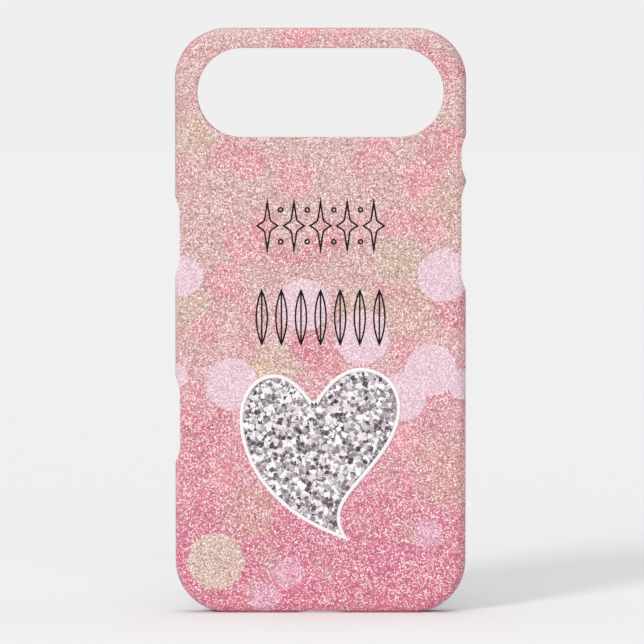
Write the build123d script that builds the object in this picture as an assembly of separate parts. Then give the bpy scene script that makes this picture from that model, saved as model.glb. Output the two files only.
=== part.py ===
"""A slim one-piece hard case for a phone, printed on its outside.

It stands on its bottom edge as it is looked at from behind: +Z runs up its long side, +X to the right
of its printed back, -Y out of the printed back, and +Y out of the open side that the phone goes in
through. The origin is the middle of the bottom of the bounding box. All sizes are in millimetres.

The nodes are the moulded shell, the thin printed film that wraps its back and sides, and four raised
prints on the film: a heart of coarse glitter, its white border, and two rows of fine black line work.
"""
import os

from build123d import *

# The phone that it holds, and the room that the phone is given
PHONE_WIDTH = 74.7
PHONE_HEIGHT = 156.2
PHONE_DEPTH = 5.64
PHONE_CORNER_RADIUS = 11.5
SIDE_CLEARANCE = 0.3
DEPTH_CLEARANCE = 0.1

# The moulding
WALL = 2.6
BACK = 1.8
LIP_DEPTH = 0.66
LIP_SLOPE_DEPTH = 0.3
LIP_OVERHANG = 0.6
BACK_EDGE_RADIUS = 3.0
RIM_OUTER_RADIUS = 0.9
MOUTH_CHAMFER = 0.2
FLOOR_RADIUS = 1.0

# The printed film, which stops short of the open rim
FILM = 0.2
BARE_RIM = 1.1

# The camera opening in the back, a slot with round ends
CAMERA_HEIGHT = 24.5
CAMERA_TOP_MARGIN = 5.6
CAMERA_SIDE_MARGIN = 6.25
CAMERA_EDGE_RADIUS = 0.5

# The notches over the phone's buttons, open at the rim: side, middle below the top edge, window length
NOTCHES = {
    "side_button": (-1, 57.4, 14.8),
    "camera_control": (-1, 108.3, 17.1),
    "action_button": (1, 35.7, 5.4),
    "volume_buttons": (1, 57.6, 22.6),
}
NOTCH_CORNER_RADIUS = 1.6
NOTCH_END_FLARE = 1.43
NOTCH_FLOOR_FLARE = 1.03

# The openings in the bottom edge: one notch for the plug, and a slot each side of it for sound
PORT_LENGTH = 10.6
PORT_FLARE = 0.6
PORT_FLOOR_FLARE = 0.2
SOUND_SLOT_LENGTH = 9.0
SOUND_SLOT_HEIGHT = 1.8
SOUND_SLOT_FROM_MIDDLE = 17.5

# The raised prints on the back
HEART_RELIEF = 0.3
LINE_RELIEF = 0.05
BORDER_WIDTH = 1.0
BORDER_STATIONS = 24
PRINT_ABOVE_MIDDLE = 1.8
HEART_TIP_TO_CLEFT = 38.0
LINE_ROW_HEIGHT = 16.0
LINE_ROW_WIDTH = 36.0
LINE_ROW_GAP = 9.3
LINE_TO_HEART_GAP = 16.0
LINE_WIDTH = 0.45
STAR_COUNT = 5
STAR_HALF_WIDTH = 3.3
STAR_WAIST = (1.0, 1.5)
STAR_WAIST_RADIUS = 1.2
RING_RADIUS = 0.8
RING_FROM_MIDDLE = 4.4
LEAF_COUNT = 7
LEAF_HALF_WIDTH = 1.75

# How far a cutter runs past the face that it cuts through
PAST = 1.0

# Sizes that follow from those above
CAVITY_WIDTH = PHONE_WIDTH + 2 * SIDE_CLEARANCE
CAVITY_HEIGHT = PHONE_HEIGHT + 2 * SIDE_CLEARANCE
CAVITY_RADIUS = PHONE_CORNER_RADIUS + SIDE_CLEARANCE
WIDTH = CAVITY_WIDTH + 2 * WALL
HEIGHT = CAVITY_HEIGHT + 2 * WALL
CORNER_RADIUS = CAVITY_RADIUS + WALL
DEPTH = BACK + PHONE_DEPTH + DEPTH_CLEARANCE + LIP_DEPTH

MIDDLE_Z = HEIGHT / 2
Y_FRONT = (DEPTH + HEART_RELIEF) / 2
Y_BACK = Y_FRONT - DEPTH
Y_FLOOR = Y_BACK + BACK
Y_LIP = Y_FLOOR + PHONE_DEPTH + DEPTH_CLEARANCE
Y_PHONE_MIDDLE = Y_FLOOR + PHONE_DEPTH / 2

CAMERA_WIDTH = WIDTH - 2 * CAMERA_SIDE_MARGIN
CAMERA_Z = HEIGHT - CAMERA_TOP_MARGIN - CAMERA_HEIGHT / 2
CAMERA_LOW_Z = CAMERA_Z - CAMERA_HEIGHT / 2

# The prints stand as one group, close to the middle of the plain area under the camera opening
PRINT_HEIGHT = HEART_TIP_TO_CLEFT + LINE_TO_HEART_GAP + 2 * LINE_ROW_HEIGHT + LINE_ROW_GAP
PRINT_LOW_Z = CAMERA_LOW_Z / 2 + PRINT_ABOVE_MIDDLE - PRINT_HEIGHT / 2
HEART_Z = PRINT_LOW_Z + HEART_TIP_TO_CLEFT
LOWER_ROW_Z = HEART_Z + LINE_TO_HEART_GAP + LINE_ROW_HEIGHT / 2
UPPER_ROW_Z = LOWER_ROW_Z + LINE_ROW_HEIGHT + LINE_ROW_GAP

# The heart's outline, from its cleft: each row is a smooth cubic stretch's two handles and its end
HEART_CLEFT_X = -1.8
HEART_LEFT = [
    ((-2.8, 3.8), (-6.2, 8.2), (-11.0, 8.2)),
    ((-16.4, 8.2), (-20.8, 2.8), (-20.6, -4.6)),
    ((-20.2, -17.6), (-10.6, -31.6), (9.9, -38.0)),
]
HEART_RIGHT = [
    ((3.0, 5.4), (7.6, 10.0), (13.0, 10.0)),
    ((19.6, 10.0), (24.2, 4.8), (23.9, -1.6)),
    ((23.4, -12.4), (12.4, -20.6), (8.6, -27.0)),
    ((6.2, -31.0), (7.4, -35.2), (9.9, -38.0)),
]


def upright(y: float, x: float = 0, z: float = 0) -> Plane:
    """The plane across the depth at y, looked at from behind: its own x is +X and its own y is +Z."""
    return Plane(origin=(x, y, z), x_dir=(1, 0, 0), z_dir=(0, -1, 0))


def slab(width: float, height: float, radius: float, y_low: float, y_high: float) -> Part:
    """A flat block with round corners about the middle of the case, from y_low to y_high."""
    outline = upright(y_high, z=MIDDLE_Z) * RectangleRounded(width, height, radius)
    return extrude(outline, amount=y_high - y_low)


def edges_at(part: Part, y: float) -> ShapeList:
    """The edges of a part that lie wholly in the plane at y."""
    return part.edges().filter_by_position(Axis.Y, y - 1e-4, y + 1e-4)


def outer_block(inset: float) -> Part:
    """The whole outside, brought in by inset on its back and sides, with its long edges rounded."""
    block = slab(
        WIDTH - 2 * inset, HEIGHT - 2 * inset, CORNER_RADIUS - inset, Y_BACK + inset, Y_FRONT
    )
    return fillet(edges_at(block, Y_BACK + inset), BACK_EDGE_RADIUS - inset)


def round_rectangle(y: float, inset: float) -> Face:
    """The outline of the phone's room across the depth at y, brought in by inset."""
    outline = RectangleRounded(CAVITY_WIDTH - 2 * inset, CAVITY_HEIGHT - 2 * inset, CAVITY_RADIUS - inset)
    return (upright(y, z=MIDDLE_Z) * outline).face()


def cavity() -> Part:
    """The room for the phone, drawn in at the lip that holds it, with a chamfered mouth at the rim."""
    room = slab(CAVITY_WIDTH, CAVITY_HEIGHT, CAVITY_RADIUS, Y_FLOOR, Y_LIP)
    room = fillet(edges_at(room, Y_FLOOR), FLOOR_RADIUS)
    stations = [
        (Y_LIP, 0),
        (Y_LIP + LIP_SLOPE_DEPTH, LIP_OVERHANG),
        (Y_FRONT - MOUTH_CHAMFER, LIP_OVERHANG),
        (Y_FRONT + PAST, LIP_OVERHANG - MOUTH_CHAMFER - PAST),
    ]
    for below, above in zip(stations, stations[1:]):
        room += loft([round_rectangle(*below), round_rectangle(*above)], ruled=True)
    return room


def flared_cutter(wall_plane: Plane, length: float, y_low: float, end_flare: float,
                  floor_flare: float, grow: float) -> Part:
    """A cutter for a notch that is open at the rim and widens towards the outside.

    The plane lies on the wall's inner face with its own x along the wall, its own y towards the rim
    and its normal outwards. The cutter grows by grow on every side, for the film that lines the notch.
    """

    def section(out: float) -> Face:
        half = length / 2 + end_flare * out + grow
        low = y_low - floor_flare * out - grow
        high = Y_FRONT + WALL + PAST
        radius = NOTCH_CORNER_RADIUS + floor_flare * out + grow
        outline = Pos(0, (low + high) / 2) * RectangleRounded(2 * half, high - low, radius)
        return (wall_plane.offset(out) * outline).face()

    reach = WALL + PAST
    inside = extrude(section(0), amount=-(LIP_OVERHANG + PAST))
    return inside + loft([section(0), section(reach)], ruled=True)


def button_notch(side: int, below_top: float, length: float, grow: float) -> Part:
    """The notch in a long side over one of the phone's buttons."""
    plane = Plane(
        origin=(side * CAVITY_WIDTH / 2, 0, HEIGHT - below_top), x_dir=(0, 0, -side), z_dir=(side, 0, 0)
    )
    return flared_cutter(plane, length, Y_FLOOR, NOTCH_END_FLARE, NOTCH_FLOOR_FLARE, grow)


def port_notch(grow: float) -> Part:
    """The notch in the middle of the bottom edge, for the plug."""
    plane = Plane(origin=(0, 0, WALL), x_dir=(-1, 0, 0), z_dir=(0, 0, -1))
    return flared_cutter(plane, PORT_LENGTH, Y_FLOOR, PORT_FLARE, PORT_FLOOR_FLARE, grow)


def sound_slot(side: int, grow: float) -> Part:
    """A slot with round ends through the bottom edge, on one side of the plug's notch."""
    plane = Plane(
        origin=(side * SOUND_SLOT_FROM_MIDDLE, Y_PHONE_MIDDLE, -PAST), x_dir=(1, 0, 0), z_dir=(0, 0, 1)
    )
    outline = SlotOverall(SOUND_SLOT_LENGTH + 2 * grow, SOUND_SLOT_HEIGHT + 2 * grow)
    return extrude(plane * outline, amount=WALL + 2 * PAST)


def camera_cutter(grow: float) -> Part:
    """The cutter for the camera opening, through the back into the cavity."""
    outline = SlotOverall(CAMERA_WIDTH + 2 * grow, CAMERA_HEIGHT + 2 * grow)
    return extrude(upright(Y_FLOOR + PAST, z=CAMERA_Z) * outline, amount=BACK + 2 * PAST)


def all_openings(grow: float) -> list[Part]:
    """Every opening through the walls and the back, grown by grow."""
    cutters = [button_notch(*notch, grow) for notch in NOTCHES.values()]
    cutters += [sound_slot(side, grow) for side in (-1, 1)]
    return cutters + [port_notch(grow), camera_cutter(grow)]


def whole_case() -> Part:
    """The shell and its film as one body, with every opening cut and the camera opening's rim eased."""
    block = outer_block(0)
    block = fillet(edges_at(block, Y_FRONT), RIM_OUTER_RADIUS)
    block -= camera_cutter(0)
    back_face = block.faces().sort_by(Axis.Y)[0]
    block = fillet(back_face.inner_wires()[0].edges(), CAMERA_EDGE_RADIUS)
    return block - cavity() - all_openings(0)


def plastic_region() -> Part:
    """Where the case is bare plastic: everything a film's thickness below its printed faces."""
    core = outer_block(FILM) - all_openings(FILM)
    band = slab(WIDTH + PAST, HEIGHT + PAST, CORNER_RADIUS, Y_FRONT - BARE_RIM, Y_FRONT + PAST)
    return core + band


def heart_side(stretches: list) -> Wire:
    """One side of the heart's outline, from the cleft round its lobe to the tip."""
    edges = []
    start = (0, 0)
    for first_handle, second_handle, end in stretches:
        edges.append(Bezier(start, first_handle, second_handle, end))
        start = end
    return Wire(edges)


def border_band(side: Wire, turn: int) -> Sketch:
    """The band of the border's width along the inside of one side of the heart.

    Its inner edge is a smooth curve through points that stand off the side by the border's width.
    """
    inner = []
    for i in range(BORDER_STATIONS + 1):
        u = i / BORDER_STATIONS
        along = side % u
        inward = Vector(-along.Y, along.X) * turn
        inner.append((side @ u) + inward * BORDER_WIDTH)
    inner_edge = Spline(inner)
    ends = [Line(side @ 0, inner_edge @ 0), Line(side @ 1, inner_edge @ 1)]
    return make_face([*side.edges(), inner_edge, *ends])


def heart_faces() -> tuple[Sketch, Sketch]:
    """The heart's border and what it surrounds, about the cleft."""
    left = heart_side(HEART_LEFT)
    right = heart_side(HEART_RIGHT)
    whole = make_face([*left.edges(), *right.edges()])
    band = border_band(left, 1) + border_band(right, -1) + Circle(BORDER_WIDTH)
    return whole & band, whole - band


def raised_print(outline: Sketch, x: float, z: float, relief: float) -> Part:
    """An outline as a print that stands proud of the film by relief, about x and z."""
    return extrude(upright(Y_BACK, x, z) * outline, amount=relief)


def drawn_line(outline: Sketch) -> Sketch:
    """A line of the pen's width along the inside of a closed outline."""
    return outline - offset(outline, amount=-LINE_WIDTH)


def four_point_star() -> Sketch:
    """A tall star with four straight points and hollow corners between them, drawn as a line."""
    half_height = LINE_ROW_HEIGHT / 2
    waist_x, waist_z = STAR_WAIST
    quarter = [(0, half_height), (waist_x, waist_z), (STAR_HALF_WIDTH, 0), (waist_x, -waist_z)]
    corners = quarter + [(-x, -z) for x, z in quarter]
    outline = make_face(Polyline(*corners, close=True))
    hollows = [v for v in outline.vertices() if abs(abs(v.X) - waist_x) < 1e-6]
    return drawn_line(fillet(hollows, STAR_WAIST_RADIUS))


def leaf() -> Sketch:
    """A tall leaf with pointed ends and a middle rib, drawn as a line."""
    half_height = LINE_ROW_HEIGHT / 2
    ends = ((0, -half_height), (0, half_height))
    sides = [ThreePointArc(ends[0], (x, 0), ends[1]) for x in (-LEAF_HALF_WIDTH, LEAF_HALF_WIDTH)]
    outline = make_face(sides)
    rib = Rectangle(LINE_WIDTH, LINE_ROW_HEIGHT) & outline
    return drawn_line(outline) + rib


def row_places(count: int, half_width: float) -> list[float]:
    """Where the middles of count equal motifs stand along a row that they fill from end to end."""
    reach = LINE_ROW_WIDTH / 2 - half_width
    return [-reach + 2 * reach * i / (count - 1) for i in range(count)]


def star_row() -> Part:
    """The upper row: tall stars, with a small ring above and below the middle between two of them."""
    places = row_places(STAR_COUNT, STAR_HALF_WIDTH)
    star = four_point_star()
    ring = drawn_line(Circle(RING_RADIUS))
    row = [raised_print(star, x, UPPER_ROW_Z, LINE_RELIEF) for x in places]
    for left, right in zip(places, places[1:]):
        for up in (-1, 1):
            z = UPPER_ROW_Z + up * RING_FROM_MIDDLE
            row.append(raised_print(ring, (left + right) / 2, z, LINE_RELIEF))
    return Part() + row


def leaf_row() -> Part:
    """The lower row: tall leaves side by side."""
    places = row_places(LEAF_COUNT, LEAF_HALF_WIDTH)
    return Part() + [raised_print(leaf(), x, LOWER_ROW_Z, LINE_RELIEF) for x in places]


def main() -> None:
    """Builds every node and writes each to its own STEP file."""
    os.makedirs("parts", exist_ok=True)
    case = whole_case()
    plastic = plastic_region()
    border, inside = heart_faces()
    nodes = {
        "shell": case & plastic,
        "glitter_film": case - plastic,
        "heart_border": raised_print(border, HEART_CLEFT_X, HEART_Z, HEART_RELIEF),
        "heart_glitter": raised_print(inside, HEART_CLEFT_X, HEART_Z, HEART_RELIEF),
        "star_line_print": star_row(),
        "leaf_line_print": leaf_row(),
    }
    for name, shape in nodes.items():
        print(name, len(shape.solids()), "solids", round(shape.volume, 3), "mm3")
        export_step(shape, f"parts/{name}.step")


main()
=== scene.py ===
"""A slim printed phone case, seen from behind: its finished look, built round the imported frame.

The moulded shell, its printed film and the fine line work keep the frame's own solids and get their
finishes here. The raised heart is made anew as a rounded white border, a glitter bed and loose
glitter chips. The case's lengths are millimetres until a mesh or a shader is made, and the studio's
are metres.
"""

import logging
import math
from dataclasses import dataclass, field
from enum import Enum

import bpy
import numpy as np
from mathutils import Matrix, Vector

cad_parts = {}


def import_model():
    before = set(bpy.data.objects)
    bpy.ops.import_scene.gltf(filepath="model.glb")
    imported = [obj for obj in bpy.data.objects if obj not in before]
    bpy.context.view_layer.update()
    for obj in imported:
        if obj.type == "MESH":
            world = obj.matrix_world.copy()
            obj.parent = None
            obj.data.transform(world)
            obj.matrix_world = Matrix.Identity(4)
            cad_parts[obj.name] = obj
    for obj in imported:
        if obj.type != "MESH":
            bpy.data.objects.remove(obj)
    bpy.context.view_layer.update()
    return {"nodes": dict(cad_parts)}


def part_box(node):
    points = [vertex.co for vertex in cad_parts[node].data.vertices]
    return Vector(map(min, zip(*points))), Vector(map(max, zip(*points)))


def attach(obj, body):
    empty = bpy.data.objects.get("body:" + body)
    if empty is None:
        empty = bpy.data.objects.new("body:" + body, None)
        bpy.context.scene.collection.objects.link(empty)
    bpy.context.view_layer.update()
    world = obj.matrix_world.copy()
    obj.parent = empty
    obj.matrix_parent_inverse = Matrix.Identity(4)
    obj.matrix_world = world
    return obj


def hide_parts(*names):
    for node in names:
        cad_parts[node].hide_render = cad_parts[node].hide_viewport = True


MM = 0.001
TINY = 1e-6
LOG = logging.getLogger("phone_case")

Socket = bpy.types.NodeSocket
Stops = tuple[tuple[float, str], ...]
Stretch = tuple[tuple[float, float], tuple[float, float], tuple[float, float]]


def hex_to_linear(code: str) -> tuple[float, float, float, float]:
    """Turns an sRGB hex colour into the linear colour that shaders work in.

    Args:
        code: the colour as "#rrggbb".

    Returns:
        Linear red, green and blue, and an alpha of 1.
    """
    shares = np.array([int(code[i : i + 2], 16) for i in (1, 3, 5)]) / 255
    linear = np.where(shares <= 0.04045, shares / 12.92, ((shares + 0.055) / 1.055) ** 2.4)
    return (*linear.tolist(), 1.0)


def fill_ramp(ramp: bpy.types.ColorRamp, stops: Stops) -> None:
    """Gives a colour ramp its stops.

    Args:
        ramp: the ramp.
        stops: each stop's place from 0 to 1, and its sRGB hex colour.
    """
    while len(ramp.elements) < len(stops):
        ramp.elements.new(1.0)
    for element, (place, code) in zip(ramp.elements, stops):
        element.position = place
        element.color = hex_to_linear(code)


def add_node(
    tree: bpy.types.NodeTree, kind: str, settings: dict | None = None, links: dict | None = None
) -> bpy.types.Node:
    """Adds one node, with its settings and what feeds it.

    Args:
        tree: the tree that the node goes into.
        kind: Blender's name for the kind of node.
        settings: a property's name or an input's number or label, and its value. Names that are
            properties of the node are set there, and all others are inputs. A colour ramp's stops
            go under "stops".
        links: an input's number or label, and the socket that feeds it.

    Returns:
        The new node.
    """
    node = tree.nodes.new(kind)
    inputs = {}
    for name, value in (settings or {}).items():
        if name == "stops":
            fill_ramp(node.color_ramp, value)
        elif isinstance(name, str) and name in node.bl_rna.properties:
            setattr(node, name, value)
        else:
            inputs[name] = value
    for name, value in inputs.items():
        node.inputs[name].default_value = value
    for name, socket in (links or {}).items():
        tree.links.new(socket, node.inputs[name])
    return node


def per_metre(size_mm: float) -> float:
    """The scale that gives a texture node cells or waves of a size in millimetres."""
    return 1 / (size_mm * MM)


@dataclass(frozen=True)
class Finish:
    """A finish: one physical surface, as a material with its shader's fixed values."""

    name: str
    roughness: float = 0.5
    specular: float = 0.5
    ior: float = 1.5
    metallic: float = 0.0
    coat: float = 0.0
    coat_roughness: float = 0.1
    gloss_drift: float = 0.0

    def material(self) -> bpy.types.Material:
        """Makes the material and hands its shader to dress.

        Returns:
            The material.
        """
        material = bpy.data.materials.new(self.name)
        material.use_nodes = True
        tree = material.node_tree
        tree.nodes.clear()
        values = {
            "Roughness": self.roughness,
            "Specular IOR Level": self.specular,
            "Metallic": self.metallic,
            "Coat Weight": self.coat,
            "Coat Roughness": self.coat_roughness,
        }
        if not self.metallic:
            values["IOR"] = self.ior
        shader = add_node(tree, "ShaderNodeBsdfPrincipled", values)
        add_node(tree, "ShaderNodeOutputMaterial", links={"Surface": shader.outputs["BSDF"]})
        self.dress(tree, shader)
        return material

    def dress(self, tree: bpy.types.NodeTree, shader: bpy.types.Node) -> None:
        """Adds colour, gloss variation and relief to the shader. Each finish has its own.

        Args:
            tree: the material's tree.
            shader: its shader.
        """
        raise NotImplementedError

    def place(self, tree: bpy.types.NodeTree) -> Socket:
        """The surface point in the object's own space, in metres."""
        return add_node(tree, "ShaderNodeTexCoord").outputs["Object"]

    def relief(self, tree: bpy.types.NodeTree, shader: bpy.types.Node, height: Socket, depth: float) -> None:
        """Bumps the surface.

        Args:
            tree: the material's tree.
            shader: the shader whose normal it turns.
            height: the pattern, from 0 to 1.
            depth: how high the pattern stands, in mm.
        """
        bump = add_node(
            tree, "ShaderNodeBump", {"Strength": 1.0, "Distance": depth * MM}, {"Height": height}
        )
        tree.links.new(bump.outputs["Normal"], shader.inputs["Normal"])

    def vary_gloss(self, tree: bpy.types.NodeTree, shader: bpy.types.Node, pattern: Socket) -> None:
        """Lets the roughness drift either way with a pattern, by the finish's gloss_drift.

        Args:
            tree: the material's tree.
            shader: the shader whose roughness it sets.
            pattern: the pattern, from 0 to 1.
        """
        span = {"To Min": self.roughness - self.gloss_drift, "To Max": self.roughness + self.gloss_drift}
        gloss = add_node(tree, "ShaderNodeMapRange", span, {"Value": pattern})
        tree.links.new(gloss.outputs[0], shader.inputs["Roughness"])


class DiscTone(Enum):
    """The named looks of the print's discs of light: colour, cover, and blur of the edge in mm."""

    LAVENDER = ("#efcfdf", 0.93, 0.3)
    LILAC = ("#fbbfdc", 0.7, 0.5)
    BEIGE = ("#e9d4bb", 0.88, 0.4)
    SAND = ("#e2c8ae", 0.74, 0.7)
    PEACH = ("#f3cfa4", 0.7, 0.6)
    BLUSH = ("#f9a5ae", 0.72, 0.7)
    ROSE = ("#e8809a", 0.66, 1.2)
    TAN = ("#dfb79c", 0.5, 2.2)


@dataclass(frozen=True)
class Disc:
    """A disc of light in the print: its middle across and up the back and its radius, in mm."""

    tone: DiscTone
    x: float
    z: float
    radius: float


PRINT_DISCS = (
    Disc(DiscTone.TAN, 36.0, 40.0, 11.0),
    Disc(DiscTone.TAN, -20.0, 27.5, 7.0),
    Disc(DiscTone.TAN, 33.5, 113.0, 6.5),
    Disc(DiscTone.SAND, -35.5, 132.5, 7.0),
    Disc(DiscTone.SAND, 21.5, 97.5, 7.0),
    Disc(DiscTone.SAND, -36.0, 85.0, 5.3),
    Disc(DiscTone.SAND, -13.0, 69.5, 6.0),
    Disc(DiscTone.TAN, 25.0, 84.0, 7.0),
    Disc(DiscTone.SAND, 10.0, 86.0, 5.0),
    Disc(DiscTone.ROSE, -3.5, 74.0, 5.0),
    Disc(DiscTone.ROSE, 33.0, 12.0, 7.0),
    Disc(DiscTone.ROSE, -33.0, 48.0, 6.0),
    Disc(DiscTone.ROSE, 12.0, 8.0, 5.5),
    Disc(DiscTone.ROSE, 38.0, 85.0, 6.0),
    Disc(DiscTone.BLUSH, 23.0, 72.5, 4.0),
    Disc(DiscTone.ROSE, -15.0, 56.0, 4.0),
    Disc(DiscTone.BLUSH, -32.0, 78.5, 4.0),
    Disc(DiscTone.BLUSH, -26.5, 38.0, 4.2),
    Disc(DiscTone.BLUSH, 23.0, 47.5, 4.6),
    Disc(DiscTone.BLUSH, 26.5, 119.5, 5.0),
    Disc(DiscTone.BLUSH, 31.0, 106.0, 4.0),
    Disc(DiscTone.BLUSH, 21.0, 108.5, 4.5),
    Disc(DiscTone.BLUSH, -21.0, 102.0, 5.5),
    Disc(DiscTone.BLUSH, -26.0, 92.5, 4.5),
    Disc(DiscTone.BLUSH, -7.0, 120.5, 5.5),
    Disc(DiscTone.BLUSH, 15.5, 128.5, 4.0),
    Disc(DiscTone.LILAC, 30.0, 22.0, 4.0),
    Disc(DiscTone.LILAC, -15.5, 4.5, 4.2),
    Disc(DiscTone.LILAC, -9.0, 11.0, 4.2),
    Disc(DiscTone.BLUSH, -20.0, 124.3, 4.2),
    Disc(DiscTone.BLUSH, 37.5, 130.5, 4.0),
    Disc(DiscTone.BLUSH, -6.0, 160.5, 4.5),
    Disc(DiscTone.BLUSH, -15.5, 107.5, 3.8),
    Disc(DiscTone.BEIGE, -29.0, 14.5, 7.8),
    Disc(DiscTone.PEACH, -15.5, 67.0, 3.3),
    Disc(DiscTone.LAVENDER, -38.0, 93.5, 5.5),
    Disc(DiscTone.LAVENDER, -40.0, 66.0, 3.3),
    Disc(DiscTone.LAVENDER, 39.5, 63.5, 4.2),
    Disc(DiscTone.LAVENDER, 22.5, 60.0, 6.7),
    Disc(DiscTone.LAVENDER, 30.5, 67.5, 7.2),
    Disc(DiscTone.LAVENDER, 11.5, 76.5, 7.5),
    Disc(DiscTone.LAVENDER, -4.5, 85.5, 7.2),
    Disc(DiscTone.LAVENDER, -24.5, 63.5, 7.2),
    Disc(DiscTone.LAVENDER, 34.0, 93.5, 7.2),
)


@dataclass(frozen=True)
class Blotch:
    """A kind of large soft patch in the print: its colour, its size, and the noise that shows it.

    It starts where the noise passes low, and covers most where it passes high. Its noise is read
    shift millimetres further up, so that each kind falls in other places.
    """

    colour: str
    size: float
    low: float
    high: float
    shift: float


@dataclass(frozen=True)
class GlitterPrint(Finish):
    """Ink printed on polycarbonate and cleared: a picture of fine pink glitter under a thin satin coat.

    The eye gets a fine grain of bright and dark specks, large soft discs of light, and a satin sheen
    along the rounded edges. The ground's colours run from the bottom edge to the top one.
    """

    height: float = 162.0
    ground: Stops = (
        (0.00, "#f07da0"),
        (0.07, "#e97ca0"),
        (0.16, "#ea84a1"),
        (0.24, "#f199b0"),
        (0.34, "#eea9b6"),
        (0.46, "#eeb9ba"),
        (0.58, "#e5b8b4"),
        (0.66, "#e6bab7"),
        (0.78, "#e7beb9"),
        (1.00, "#e8c2bc"),
    )
    blotches: tuple[Blotch, ...] = (
        Blotch("#f08a9b", 13.0, 0.5, 0.68, 310.0),
        Blotch("#dab7a2", 10.4, 0.54, 0.74, 620.0),
    )
    blotch_cover: float = 0.6
    speck: float = 0.25
    speck_tones: Stops = (
        (0.0, "#9c8488"), (0.25, "#c4b6b9"), (0.5, "#e0dada"), (0.8, "#f7f4f4"), (1.0, "#ffffff")
    )
    calm_speck: float = 0.55
    spark: float = 0.3
    spark_colour: str = "#ffebed"
    spark_low: float = 0.7
    spark_high: float = 0.93
    spark_cover: float = 0.95
    peel: float = 1.1
    peel_depth: float = 0.012

    def dress(self, tree: bpy.types.NodeTree, shader: bpy.types.Node) -> None:
        """Lays the ground, its blotches, the discs and the grain over each other.

        Args:
            tree: the material's tree.
            shader: its shader.
        """
        place = self.place(tree)
        split = add_node(tree, "ShaderNodeSeparateXYZ", links={0: place})
        up = add_node(
            tree, "ShaderNodeMapRange", {"From Max": self.height * MM}, {"Value": split.outputs["Z"]}
        )
        ground = add_node(tree, "ShaderNodeValToRGB", {"stops": self.ground}, {"Fac": up.outputs[0]})
        colour = self.lay_blotches(tree, place, ground.outputs["Color"])
        flat = add_node(
            tree, "ShaderNodeCombineXYZ", links={"X": split.outputs["X"], "Z": split.outputs["Z"]}
        )
        calm = None
        for disc in PRINT_DISCS:
            colour, calm = self.lay_disc(tree, flat.outputs[0], colour, calm, disc)
        colour = self.grain(tree, place, colour, calm)
        tree.links.new(colour, shader.inputs["Base Color"])
        self.clear_coat(tree, shader, place)

    def clear_coat(self, tree: bpy.types.NodeTree, shader: bpy.types.Node, place: Socket) -> None:
        """Gives the coat the faint orange peel that it sets with, and a gloss that drifts with it.

        Args:
            tree: the material's tree.
            shader: its shader.
            place: the surface point.
        """
        peel = add_node(
            tree, "ShaderNodeTexNoise", {"Scale": per_metre(self.peel), "Detail": 2.0}, {"Vector": place}
        )
        self.relief(tree, shader, peel.outputs["Fac"], self.peel_depth)
        self.vary_gloss(tree, shader, peel.outputs["Fac"])

    def lay_blotches(self, tree: bpy.types.NodeTree, place: Socket, colour: Socket) -> Socket:
        """Warms and deepens the ground in large soft patches.

        Args:
            tree: the material's tree.
            place: the surface point.
            colour: the ground's colour.

        Returns:
            The patched colour.
        """
        for blotch in self.blotches:
            shift = {"operation": "ADD", 1: (0.0, 0.0, blotch.shift * MM)}
            shifted = add_node(tree, "ShaderNodeVectorMath", shift, {0: place})
            noise = add_node(
                tree,
                "ShaderNodeTexNoise",
                {"Scale": per_metre(blotch.size), "Detail": 2.0, "Roughness": 0.55},
                {"Vector": shifted.outputs[0]},
            )
            edge = {
                "interpolation_type": "SMOOTHSTEP",
                "From Min": blotch.low,
                "From Max": blotch.high,
                "To Max": self.blotch_cover,
            }
            cover = add_node(tree, "ShaderNodeMapRange", edge, {"Value": noise.outputs["Fac"]})
            colour = self.lay(tree, colour, blotch.colour, cover.outputs[0])
        return colour

    def lay(self, tree: bpy.types.NodeTree, under: Socket, code: str, cover: Socket) -> Socket:
        """Lays one flat colour over the colour so far.

        Args:
            tree: the material's tree.
            under: the colour so far.
            code: the sRGB hex colour on top.
            cover: how much of it shows.

        Returns:
            The colour with both.
        """
        over = {"data_type": "RGBA", 7: hex_to_linear(code)}
        return add_node(tree, "ShaderNodeMix", over, {0: cover, 6: under}).outputs[2]

    def lay_disc(
        self,
        tree: bpy.types.NodeTree,
        flat: Socket,
        colour: Socket,
        calm: Socket | None,
        disc: Disc,
    ) -> tuple[Socket, Socket | None]:
        """Lays one disc of light over the colour so far.

        Args:
            tree: the material's tree.
            flat: the surface point with its depth left out.
            colour: the colour so far.
            calm: how calm the grain is so far, from 0 to 1, or None before the first calm disc.
            disc: the disc.

        Returns:
            The colour with the disc, and how calm the grain is with it.
        """
        code, cover, blur = disc.tone.value
        centre = (disc.x * MM, 0.0, disc.z * MM)
        away = add_node(tree, "ShaderNodeVectorMath", {"operation": "DISTANCE", 1: centre}, {0: flat})
        edge = {
            "interpolation_type": "SMOOTHSTEP",
            "From Min": (disc.radius - blur) * MM,
            "From Max": (disc.radius + blur) * MM,
            "To Min": cover,
            "To Max": 0.0,
        }
        mask = add_node(tree, "ShaderNodeMapRange", edge, {"Value": away.outputs["Value"]})
        colour = self.lay(tree, colour, code, mask.outputs[0])
        if disc.tone is not DiscTone.LAVENDER:
            return colour, calm
        if calm is None:
            return colour, mask.outputs[0]
        calmer = add_node(tree, "ShaderNodeMath", {"operation": "MAXIMUM"}, {0: calm, 1: mask.outputs[0]})
        return colour, calmer.outputs[0]

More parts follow.
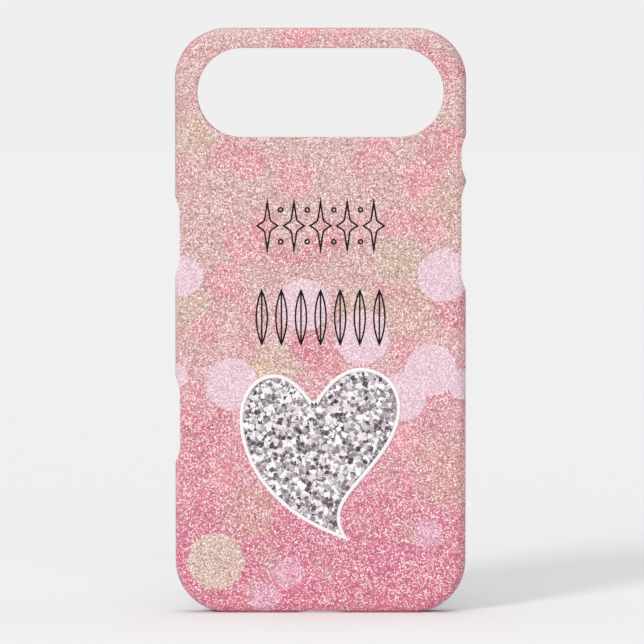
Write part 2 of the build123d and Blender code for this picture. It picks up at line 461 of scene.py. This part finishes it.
    def grain(self, tree: bpy.types.NodeTree, place: Socket, colour: Socket, calm: Socket) -> Socket:
        """Breaks the colour into specks, dark and bright, which are calmer inside the pale discs.

        Args:
            tree: the material's tree.
            place: the surface point.
            colour: the colour so far.
            calm: how calm the grain is, from 0 to 1.

        Returns:
            The grained colour.
        """
        strength = add_node(
            tree, "ShaderNodeMapRange", {"To Min": 1.0, "To Max": self.calm_speck}, {"Value": calm}
        )
        cells = add_node(tree, "ShaderNodeTexVoronoi", {"Scale": per_metre(self.speck)}, {"Vector": place})
        speck = add_node(tree, "ShaderNodeSeparateColor", links={0: cells.outputs["Color"]})
        tones = add_node(
            tree, "ShaderNodeValToRGB", {"stops": self.speck_tones}, {"Fac": speck.outputs["Red"]}
        )
        specked = add_node(
            tree,
            "ShaderNodeMix",
            {"data_type": "RGBA", "blend_type": "MULTIPLY"},
            {0: strength.outputs[0], 6: colour, 7: tones.outputs["Color"]},
        )
        coarse = add_node(tree, "ShaderNodeTexVoronoi", {"Scale": per_metre(self.spark)}, {"Vector": place})
        spark = add_node(tree, "ShaderNodeSeparateColor", links={0: coarse.outputs["Color"]})
        lit = add_node(
            tree,
            "ShaderNodeMapRange",
            {"From Min": self.spark_low, "From Max": self.spark_high, "To Max": self.spark_cover},
            {"Value": spark.outputs["Green"]},
        )
        return self.lay(tree, specked.outputs[2], self.spark_colour, lit.outputs[0])


@dataclass(frozen=True)
class SatinPlastic(Finish):
    """Injection-moulded polycarbonate, uncoated: white, satin, with the fine pebble of a spark-eroded
    mould, which keeps its highlights soft.

    A real pebble is a tenth of a millimetre or less, so it is drawn coarser here, to show.
    """

    clouds: Stops = ((0.3, "#d8d7db"), (0.7, "#dedde0"))
    cloud: float = 22.0
    pebble: float = 0.35
    pebble_depth: float = 0.012

    def dress(self, tree: bpy.types.NodeTree, shader: bpy.types.Node) -> None:
        """Gives the white a faint cloud and the mould's pebble.

        Args:
            tree: the material's tree.
            shader: its shader.
        """
        place = self.place(tree)
        cloud = add_node(
            tree, "ShaderNodeTexNoise", {"Scale": per_metre(self.cloud), "Detail": 3.0}, {"Vector": place}
        )
        tint = add_node(tree, "ShaderNodeValToRGB", {"stops": self.clouds}, {"Fac": cloud.outputs["Fac"]})
        tree.links.new(tint.outputs["Color"], shader.inputs["Base Color"])
        pebble = add_node(
            tree, "ShaderNodeTexNoise", {"Scale": per_metre(self.pebble), "Detail": 2.0}, {"Vector": place}
        )
        self.relief(tree, shader, pebble.outputs["Fac"], self.pebble_depth)
        self.vary_gloss(tree, shader, cloud.outputs["Fac"])


@dataclass(frozen=True)
class CuredInk(Finish):
    """A thick line of cured ink, one colour with the faint unevenness that it sets with.

    In white it is nearly white, a little warmer along its ripple. In black it is dense and nearly
    dull, a little greyer where it is thin.
    """

    tones: Stops = ((0.3, "#efebec"), (0.7, "#f7f5f6"))
    ripple: float = 1.6
    ripple_depth: float = 0.02

    def dress(self, tree: bpy.types.NodeTree, shader: bpy.types.Node) -> None:
        """Varies the ink's tone and raises its ripple.

        Args:
            tree: the material's tree.
            shader: its shader.
        """
        ripple = add_node(
            tree,
            "ShaderNodeTexNoise",
            {"Scale": per_metre(self.ripple), "Detail": 2.0},
            {"Vector": self.place(tree)},
        )
        tint = add_node(tree, "ShaderNodeValToRGB", {"stops": self.tones}, {"Fac": ripple.outputs["Fac"]})
        tree.links.new(tint.outputs["Color"], shader.inputs["Base Color"])
        self.relief(tree, shader, ripple.outputs["Fac"], self.ripple_depth)


@dataclass(frozen=True)
class SilverFlake(Finish):
    """Cut squares of metallised film: each one gets a random tone, from dark grey to white, a painted
    reflection that stands in for the light it catches as it faces another way."""

    # painted reflection: these tones stand in for the light each chip catches as it faces another way, not
    # for its own colour
    tones: Stops = (
        (0.00, "#40363c"),
        (0.12, "#584e54"),
        (0.22, "#7d7279"),
        (0.42, "#968b93"),
        (0.54, "#b2a6af"),
        (0.66, "#e3d4db"),
        (0.82, "#f3f0f3"),
        (1.00, "#fbfafb"),
    )
    brushing: float = 0.25

    def dress(self, tree: bpy.types.NodeTree, shader: bpy.types.Node) -> None:
        """Colours each chip by the tone that its faces carry, a painted reflection.

        Args:
            tree: the material's tree.
            shader: its shader.
        """
        # painted reflection: each chip's random tone stands in for the light it catches
        tone = add_node(tree, "ShaderNodeAttribute", {"attribute_name": "tone"})
        colour = add_node(tree, "ShaderNodeValToRGB", {"stops": self.tones}, {"Fac": tone.outputs["Fac"]})
        tree.links.new(colour.outputs["Color"], shader.inputs["Base Color"])
        brushed = add_node(
            tree,
            "ShaderNodeTexNoise",
            {"Scale": per_metre(self.brushing), "Detail": 1.0},
            {"Vector": self.place(tree)},
        )
        self.vary_gloss(tree, shader, brushed.outputs["Fac"])


@dataclass(frozen=True)
class FlakeBed(Finish):
    """The glitter's ground coat: crushed grey and lilac dust in clear binder, which shows between
    the chips as fine broken specks."""

    tones: Stops = ((0.0, "#3a3036"), (0.3, "#6a5f66"), (0.6, "#958a92"), (1.0, "#e2dbe1"))
    dust: float = 0.3
    dust_depth: float = 0.03

    def dress(self, tree: bpy.types.NodeTree, shader: bpy.types.Node) -> None:
        """Breaks the ground into small grey cells.

        Args:
            tree: the material's tree.
            shader: its shader.
        """
        place = self.place(tree)
        cells = add_node(tree, "ShaderNodeTexVoronoi", {"Scale": per_metre(self.dust)}, {"Vector": place})
        split = add_node(tree, "ShaderNodeSeparateColor", links={0: cells.outputs["Color"]})
        colour = add_node(tree, "ShaderNodeValToRGB", {"stops": self.tones}, {"Fac": split.outputs["Red"]})
        tree.links.new(colour.outputs["Color"], shader.inputs["Base Color"])
        self.relief(tree, shader, split.outputs["Green"], self.dust_depth)


@dataclass(frozen=True)
class PaleFloor(Finish):
    """Matt seamless paper: pale and even, so that only the object's soft shadow marks it."""

    colour: str = "#f3f3f3"

    def dress(self, tree: bpy.types.NodeTree, shader: bpy.types.Node) -> None:
        """Gives the paper its one pale tone.

        Args:
            tree: the material's tree, not used here.
            shader: its shader.
        """
        shader.inputs["Base Color"].default_value = hex_to_linear(self.colour)


def ring_faces(rows: int, columns: int) -> np.ndarray:
    """The four-sided faces of a grid of points that is numbered row by row and closed both ways.

    Face (i, j) joins the points (i, j), (i+1, j), (i+1, j+1) and (i, j+1), and both directions wrap
    from their last line back to their first.

    Args:
        rows: how many rows of points there are.
        columns: how many points a row has.

    Returns:
        An array of point numbers, four to a face.
    """
    i, j = np.meshgrid(np.arange(rows), np.arange(columns), indexing="ij")
    after_i, after_j = (i + 1) % rows, (j + 1) % columns
    corners = [i * columns + j, after_i * columns + j, after_i * columns + after_j, i * columns + after_j]
    return np.stack(corners, axis=-1).reshape(-1, 4)


def add_piece(
    name: str,
    points: np.ndarray,
    faces: list | np.ndarray,
    finish: Finish,
    replaces: tuple[str, ...] = (),
    smooth: bool = True,
    tone: np.ndarray | None = None,
) -> bpy.types.Object:
    """Makes a mesh piece in its place, dresses it and ties it to the frame.

    Args:
        name: the piece's name.
        points: its points, in millimetres in the row frame.
        faces: its faces, each a row of point numbers.
        finish: its finish.
        replaces: the frame's nodes that it stands for.
        smooth: whether it shades as a smooth surface.
        tone: a number for each face, which a finish may read as the attribute "tone".

    Returns:
        The piece's object.
    """
    mesh = bpy.data.meshes.new(name)
    mesh.from_pydata((points * MM).tolist(), [], faces if isinstance(faces, list) else faces.tolist())
    mesh.polygons.foreach_set("use_smooth", np.full(len(mesh.polygons), smooth))
    if tone is not None:
        mesh.attributes.new("tone", "FLOAT", "FACE").data.foreach_set("value", tone.astype(np.float32))
    mesh.materials.append(finish.material())
    mesh.update()
    piece = bpy.data.objects.new(name, mesh)
    bpy.context.scene.collection.objects.link(piece)
    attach(piece, "root")
    if replaces:
        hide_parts(*replaces)
    LOG.info("%s: %d points, %d faces", name, len(points), len(mesh.polygons))
    return piece


def dress_node(node: bpy.types.Object, finish: Finish) -> None:
    """Gives one of the frame's own solids its finish.

    Args:
        node: the solid's object.
        finish: its finish.
    """
    node.data.materials.clear()
    node.data.materials.append(finish.material())
    LOG.info("%s: dressed", node.name)


@dataclass
class CaseBody:
    """The moulded shell and the printed film that wraps it, which keep the frame's own solids."""

    shell: str = "shell"
    film: str = "glitter_film"
    height: float = field(init=False)

    def __post_init__(self) -> None:
        """Reads the film's height from the frame."""
        low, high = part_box(self.film)
        self.height = (high.z - low.z) / MM

    def dress(self, nodes: dict) -> None:
        """Gives both solids their finishes.

        Args:
            nodes: the frame's objects by name.
        """
        plastic = SatinPlastic("moulded_polycarbonate", roughness=0.44, gloss_drift=0.06)
        ink = GlitterPrint("printed_glitter", coat=0.25, gloss_drift=0.08, height=self.height)
        dress_node(nodes[self.shell], plastic)
        dress_node(nodes[self.film], ink)


@dataclass(frozen=True)
class ChipLayer:
    """A layer of glitter chips: their spacing, smallest and largest size, height and lean in degrees."""

    name: str
    pitch: float
    size: tuple[float, float]
    height: float
    lean: float


@dataclass
class HeartPatch:
    """The raised heart: a rounded border of white ink round a bed of glitter with loose chips on it.

    Its outline is drawn about the cleft, across and up the back: each row is a smooth cubic
    stretch's two handles and its end, as the frame's own heart has it.
    """

    left: tuple[Stretch, ...] = (
        ((-2.8, 3.8), (-6.2, 8.2), (-11.0, 8.2)),
        ((-16.4, 8.2), (-20.8, 2.8), (-20.6, -4.6)),
        ((-20.2, -17.6), (-10.6, -31.6), (9.9, -38.0)),
    )
    right: tuple[Stretch, ...] = (
        ((3.0, 5.4), (7.6, 10.0), (13.0, 10.0)),
        ((19.6, 10.0), (24.2, 4.8), (23.9, -1.6)),
        ((23.4, -12.4), (12.4, -20.6), (8.6, -27.0)),
        ((6.2, -31.0), (7.4, -35.2), (9.9, -38.0)),
    )
    steps: int = 40
    fan_steps: int = 14
    bend_steps: int = 6
    tip_steps: int = 3
    tip_widths: float = 8.0
    border_width: float = 1.0
    border_round: float = 0.18
    bed_height: float = 0.06
    bed_reach: float = 0.7
    same_point: float = 0.01
    layers: tuple[ChipLayer, ...] = (
        ChipLayer("heart_glitter_dust", 0.48, (0.35, 0.65), 0.08, 6.0),
        ChipLayer("heart_glitter_chips", 0.85, (0.75, 1.1), 0.13, 6.0),
        ChipLayer("heart_glitter_squares", 1.35, (1.1, 1.55), 0.18, 4.0),
    )
    chip_thickness: float = 0.02
    chip_edge: float = 0.055
    chip_narrow: float = 0.68
    chip_room: float = 0.42
    # painted highlight: added to the tone of each chip's four cut edges
    painted_edge_highlight: float = 0.42
    seed: int = 7
    back: float = field(init=False)
    relief: float = field(init=False)
    outline: np.ndarray = field(init=False)
    cleft: np.ndarray = field(init=False)
    tip_row: int = field(init=False)

    def __post_init__(self) -> None:
        """Samples the outline, and reads where the heart stands from the frame."""
        low, high = (np.array(corner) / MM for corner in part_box("heart_border"))
        self.back, self.relief = high[1], high[1] - low[1]
        left, right = self.side(self.left), self.side(self.right)
        self.outline = np.vstack([left, right[-2:0:-1]])
        self.cleft = np.array([high[0] - self.outline[:, 0].max(), low[2] - self.outline[:, 1].min()])
        self.tip_row = len(left) - 1

    def side(self, stretches: tuple[Stretch, ...]) -> np.ndarray:
        """Points along one side, from the cleft round its lobe to the tip.

        A cubic stretch from a to d with handles b and c passes through
        (1-t)^3 a + 3 (1-t)^2 t b + 3 (1-t) t^2 c + t^3 d as t goes from 0 to 1.

        Args:
            stretches: the side's stretches.

        Returns:
            The points, across and up.
        """
        t = np.linspace(0, 1, self.steps + 1)[1:, None]
        start, rows = np.zeros(2), [np.zeros((1, 2))]
        for b, c, d in (np.array(stretch) for stretch in stretches):
            rows.append((1 - t) ** 3 * start + 3 * (1 - t) ** 2 * t * b + 3 * (1 - t) * t**2 * c + t**3 * d)
            start = d
        return np.vstack(rows)

    def inward(self) -> tuple[np.ndarray, np.ndarray]:
        """The outline's points with the way inwards at each.

        The way inwards is the line's direction turned by a quarter. At the cleft the point is
        repeated while the way turns from one side's to the other's, so that the border goes round it.

        Returns:
            The points, and the ways inwards, of length 1.
        """
        ahead = np.roll(self.outline, -1, axis=0) - self.outline
        ahead /= np.linalg.norm(ahead, axis=1)[:, None]
        before = np.roll(ahead, 1, axis=0)
        along = ahead + before
        along[0], along[self.tip_row] = ahead[0], before[self.tip_row]
        along /= np.linalg.norm(along, axis=1)[:, None]
        ways = np.stack([-along[:, 1], along[:, 0]], axis=1)
        first, last = math.atan2(*ways[0][::-1]), math.atan2(before[0][0], -before[0][1])
        turn = (first - last) % (2 * math.pi)
        angles = last + np.linspace(0, turn, self.fan_steps + 1)
        fan = np.stack([np.cos(angles), np.sin(angles)], axis=1)
        points = np.vstack([np.repeat(self.outline[:1], len(fan), axis=0), self.outline[1:]])
        return points, np.vstack([fan, ways[1:]])

    def reach(self, points: np.ndarray, ways: np.ndarray) -> np.ndarray:
        """How far inwards the border goes at each point: its width, or less beside the tip.

        Beside the tip the two sides meet on the line that halves the tip's angle, so a point's
        reach ends where its way inwards crosses that line.

        Args:
            points: the outline's points.
            ways: the ways inwards.

        Returns:
            The reach at each point.
        """
        tip = self.outline[self.tip_row]
        sides = self.outline[[self.tip_row - self.tip_steps, self.tip_row + self.tip_steps]] - tip
        halving = (sides / np.linalg.norm(sides, axis=1)[:, None]).sum(axis=0)
        across = np.array([-halving[1], halving[0]])
        steepness = ways @ across
        crossing = -((points - tip) @ across) / np.where(np.abs(steepness) < TINY, TINY, steepness)
        beside = np.linalg.norm(points - tip, axis=1) < self.tip_widths * self.border_width
        near = (crossing >= -TINY) & beside
        return np.where(near, np.clip(crossing, 0, self.border_width), self.border_width)

    def to_frame(self, flat: np.ndarray, height: np.ndarray | float) -> np.ndarray:
        """Places points of the heart in the frame.

        Args:
            flat: the points, across and up about the cleft.
            height: how far each stands off the film.

        Returns:
            The points in the frame: across, back to front, and up.
        """
        points = np.empty((*flat.shape[:-1], 3))
        points[..., 0] = flat[..., 0] + self.cleft[0]
        points[..., 1] = self.back - height
        points[..., 2] = flat[..., 1] + self.cleft[1]
        return points

    def build_border(self, finish: Finish) -> None:
        """Builds the border: a section carried along the outline.

        The section runs from the film up a quarter round, over the flat top, down a quarter round
        to the bed, and back below. A point's height depends only on how far inwards it is.

        Args:
            finish: the border's finish.
        """
        points, ways = self.inward()
        reach = self.reach(points, ways)
        bend = np.linspace(0, np.pi / 2, self.bend_steps)
        aside = self.border_round * (1 - np.cos(bend))
        raised = self.relief - self.border_round * (1 - np.sin(bend))
        width = self.border_width
        inwards = np.concatenate([[0.0], aside, width - aside[::-1], [width]])
        heights = np.concatenate([[0.0], raised, raised[::-1], [0.0]])
        offset = np.minimum(inwards[None, :], reach[:, None])
        flat = points[:, None, :] + ways[:, None, :] * offset[..., None]
        places = self.to_frame(flat, np.broadcast_to(heights, offset.shape))
        faces = ring_faces(len(points), len(inwards))[:, ::-1]
        add_piece(
            "heart_border_ink", places.reshape(-1, 3), faces, finish, ("heart_border",)
        )

    def inner_outline(self) -> np.ndarray:
        """The outline's points brought in under the border, by bed_reach of its width."""
        points, ways = self.inward()
        return points + ways * (self.reach(points, ways) * self.bed_reach)[:, None]

    def build_bed(self, finish: Finish) -> None:
        """Builds the glitter's bed: a thin plate that fills the border, from the film up.

        It is two copies of the inner outline, at its height and on the film, each closed by one
        face and joined by a face from each point to the next.

        Args:
            finish: the bed's finish.
        """
        rim = self.inner_outline()
        rim = rim[np.linalg.norm(rim - np.roll(rim, 1, axis=0), axis=1) > self.same_point]
        count = len(rim)
        top, foot = self.to_frame(rim, self.bed_height), self.to_frame(rim, 0.0)
        ring = np.arange(count)
        after = (ring + 1) % count
        faces = [ring[::-1].tolist(), (ring + count).tolist()]
        faces += np.stack([ring, after, after + count, ring + count], axis=1).tolist()
        add_piece(
            "heart_glitter_bed", np.vstack([top, foot]), [face[::-1] for face in faces], finish,
            ("heart_glitter",), smooth=False,
        )

    def room_at(self, spots: np.ndarray) -> np.ndarray:
        """How far inside the outline each spot lies, below zero where it lies outside.

        A spot is inside when a line from it to the right crosses the outline an odd number of times.

        Args:
            spots: places across and up about the cleft.

        Returns:
            The distances.
        """
        a, b = self.outline, np.roll(self.outline, -1, axis=0)
        x, z = spots[:, :1], spots[:, 1:]
        rises = (a[:, 1] > z) != (b[:, 1] > z)
        drop = np.where(a[:, 1] == b[:, 1], TINY, b[:, 1] - a[:, 1])
        crossed = rises & (x < a[:, 0] + (z - a[:, 1]) * (b[:, 0] - a[:, 0]) / drop)
        inside = crossed.sum(axis=1) % 2 == 1
        away = np.sqrt(((spots[:, None, :] - a[None]) ** 2).sum(axis=-1)).min(axis=1)
        return np.where(inside, away, -away)

    def strew(self, draw: np.random.Generator, layer: ChipLayer) -> tuple[np.ndarray, np.ndarray]:
        """Strews one layer of chips on a grid whose spots are moved by up to half its spacing.

        A chip is a low four-sided frustum: its foot has the corners (+-1, +-1) times half its size,
        and its top is smaller by a narrow edge with a painted highlight. It is leant over along its
        length and its width, turned about the way out of the back, and set at its height.

        Args:
            draw: the random generator.
            layer: the layer.

        Returns:
            The chips' points, eight to a chip, and each chip's random tone, a painted reflection.
        """
        low, high = self.outline.min(axis=0), self.outline.max(axis=0)
        lines = [np.arange(a, b, layer.pitch) for a, b in zip(low, high)]
        spots = np.stack(np.meshgrid(*lines, indexing="ij"), axis=-1).reshape(-1, 2)
        spots += draw.uniform(-0.5, 0.5, spots.shape) * layer.pitch
        sizes = draw.uniform(*layer.size, len(spots))
        keep = self.room_at(spots) > self.border_width + self.chip_room * sizes
        spots, sizes = spots[keep], sizes[keep]
        count = len(spots)
        narrow = draw.uniform(self.chip_narrow, 1.0, count)
        turn = draw.uniform(0, np.pi, count)
        tilt = np.sin(np.radians(draw.uniform(-layer.lean, layer.lean, (2, count))))[..., None]
        corners = np.array([(-1, -1), (1, -1), (1, 1), (-1, 1)])
        half = np.stack([sizes, sizes * narrow], axis=1)[:, None, :] / 2
        foot = corners[None] * half
        top = corners[None] * (half - self.chip_edge)
        flat = np.concatenate([foot, top], axis=1)
        across, up = flat[..., 0], flat[..., 1]
        lift = np.repeat([[0.0, self.chip_thickness]], 4, axis=1) + across * tilt[0] + up * tilt[1]
        c, s = np.cos(turn)[:, None], np.sin(turn)[:, None]
        turned = np.stack([across * c - up * s, across * s + up * c], axis=-1)
        rise = np.clip(layer.height + lift, 0.0, self.relief)
        return self.to_frame(turned + spots[:, None, :], rise), draw.uniform(0, 1, count)

    def build_chips(self, finish: Finish) -> None:
        """Strews the layers of chips on the bed: dust, small chips and large ones on top.

        A chip's top and bottom have its own tone, a painted reflection, and its four cut edges are painted
        lighter, a painted highlight.

        Args:
            finish: the chips' finish.
        """
        draw = np.random.default_rng(self.seed)
        chip_faces = np.array(
            [(0, 3, 2, 1), (4, 5, 6, 7), (0, 1, 5, 4), (1, 2, 6, 5), (2, 3, 7, 6), (3, 0, 4, 7)]
        )
        # painted highlight: the four cut edges get a lighter tone than the chip's top and bottom
        edge_highlight_lift = np.repeat([0.0, self.painted_edge_highlight], (2, 4))
        for layer in self.layers:
            places, tone = self.strew(draw, layer)
            firsts = np.arange(len(places))[:, None, None] * places.shape[1]
            faces = (firsts + chip_faces).reshape(-1, 4)
            tones = np.clip(tone[:, None] + edge_highlight_lift, 0, 1).reshape(-1)
            add_piece(
                layer.name, places.reshape(-1, 3), faces, finish, smooth=False, tone=tones
            )


@dataclass
class LineWork:
    """The two rows of fine line work in black ink, which keep the frame's own solids."""

    rows: tuple[str, ...] = ("star_line_print", "leaf_line_print")
    tones: Stops = ((0.3, "#0b090a"), (0.75, "#171314"))
    ripple: float = 0.7
    ripple_depth: float = 0.01

    def dress(self, nodes: dict) -> None:
        """Gives both rows their ink.

        Args:
            nodes: the frame's objects by name.
        """
        for row in self.rows:
            ink = CuredInk(
                f"{row}_ink",
                roughness=0.6,
                specular=0.15,
                tones=self.tones,
                ripple=self.ripple,
                ripple_depth=self.ripple_depth,
            )
            dress_node(nodes[row], ink)


@dataclass(frozen=True)
class SoftLight:
    """One broad light: where its light travels to, its strength, and how wide it looks in degrees."""

    name: str
    travel: tuple[float, float, float]
    strength: float
    width: float

    def on_floor(self) -> float:
        """The share of full brightness that it gives a white floor: strength times slope, by pi."""
        return self.strength / math.pi * -self.travel[2] / float(np.linalg.norm(self.travel))

    def hang(self) -> None:
        """Hangs the lamp and turns it so that its light travels the right way."""
        lamp = bpy.data.lights.new(self.name, "SUN")
        lamp.energy = self.strength
        lamp.angle = math.radians(self.width)
        light = bpy.data.objects.new(self.name, lamp)
        x, y, z = self.travel
        light.rotation_euler = (math.atan2(math.hypot(x, y), -z), 0.0, math.atan2(-x, y))
        bpy.context.scene.collection.objects.link(light)


@dataclass
class Studio:
    """A pale floor with a key light from the front left, a fill light from the front and a wide
    light overhead, and the camera that looks at the case's back."""

    distance: float = 1.3
    frame_width: float = 0.17854
    sensor: float = 36.0
    elevation: float = 3.0
    target: tuple[float, float, float] = (0.0004, 0.0, 0.0806)
    clip: tuple[float, float] = (0.05, 40.0)
    floor_size: float = 16.0
    sky: float = 0.22
    lights: tuple[SoftLight, ...] = (
        SoftLight("key_light", (1.0, 1.38, -1.0), 1.18, 14.0),
        SoftLight("fill_light", (0.0, 1.0, -0.25), 0.86, 60.0),
        SoftLight("overhead_light", (0.0, 0.0, -1.0), 1.52, 60.0),
    )

    def build(self) -> None:
        """Builds the floor, the light and the camera."""
        bpy.context.scene.view_settings.view_transform = "Standard"
        self.build_floor()
        self.build_light()
        self.build_camera()

    def build_floor(self) -> None:
        """Lays the floor at the height that the case stands on."""
        half = self.floor_size / 2
        mesh = bpy.data.meshes.new("paper_floor")
        mesh.from_pydata(
            [(-half, -half, 0), (half, -half, 0), (half, half, 0), (-half, half, 0)], [], [(0, 1, 2, 3)]
        )
        mesh.materials.append(PaleFloor("seamless_paper", roughness=1.0, specular=0.0).material())
        floor = bpy.data.objects.new("paper_floor", mesh)
        bpy.context.scene.collection.objects.link(floor)

    def build_light(self) -> None:
        """Sets the even light of the room, and the lamps.

        What the camera sees beyond the floor is as bright as the lit floor: its albedo times the
        room's light and each lamp's share that falls on it.
        """
        paper = hex_to_linear(PaleFloor("seamless_paper").colour)[0]
        beyond = paper * (self.sky + sum(light.on_floor() for light in self.lights))
        world = bpy.data.worlds.new("soft_room")
        bpy.context.scene.world = world
        world.use_nodes = True
        tree = world.node_tree
        tree.nodes.clear()
        white = hex_to_linear("#ffffff")
        room = add_node(tree, "ShaderNodeBackground", {"Color": white, "Strength": self.sky})
        backdrop = add_node(tree, "ShaderNodeBackground", {"Color": white, "Strength": beyond})
        ray = add_node(tree, "ShaderNodeLightPath")
        mixed = add_node(
            tree,
            "ShaderNodeMixShader",
            links={0: ray.outputs["Is Camera Ray"], 1: room.outputs[0], 2: backdrop.outputs[0]},
        )
        add_node(tree, "ShaderNodeOutputWorld", links={"Surface": mixed.outputs[0]})
        for light in self.lights:
            light.hang()

    def build_camera(self) -> None:
        """Stands the camera off the case's back, a little above it, with a long lens."""
        tilt = math.radians(self.elevation)
        camera = bpy.data.cameras.new("camera")
        camera.sensor_width = self.sensor
        camera.lens = self.sensor * self.distance / self.frame_width
        camera.clip_start, camera.clip_end = self.clip
        stand = bpy.data.objects.new("camera", camera)
        x, y, z = self.target
        stand.location = (x, y - self.distance * math.cos(tilt), z + self.distance * math.sin(tilt))
        stand.rotation_euler = (math.pi / 2 - tilt, 0.0, 0.0)
        bpy.context.scene.collection.objects.link(stand)
        bpy.context.scene.camera = stand


def main() -> None:
    """Builds the case and its studio."""
    logging.basicConfig(level=logging.INFO, format="%(name)s: %(message)s")
    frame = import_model()
    CaseBody().dress(frame["nodes"])
    heart = HeartPatch()
    heart.build_bed(FlakeBed("glitter_binder", roughness=0.4))
    heart.build_chips(SilverFlake("metallised_film_chips", roughness=0.32, gloss_drift=0.1, metallic=0.3))
    heart.build_border(CuredInk("white_ink", roughness=0.35, coat=0.2))
    LineWork().dress(frame["nodes"])
    Studio().build()


if __name__ == "__main__":
    main()
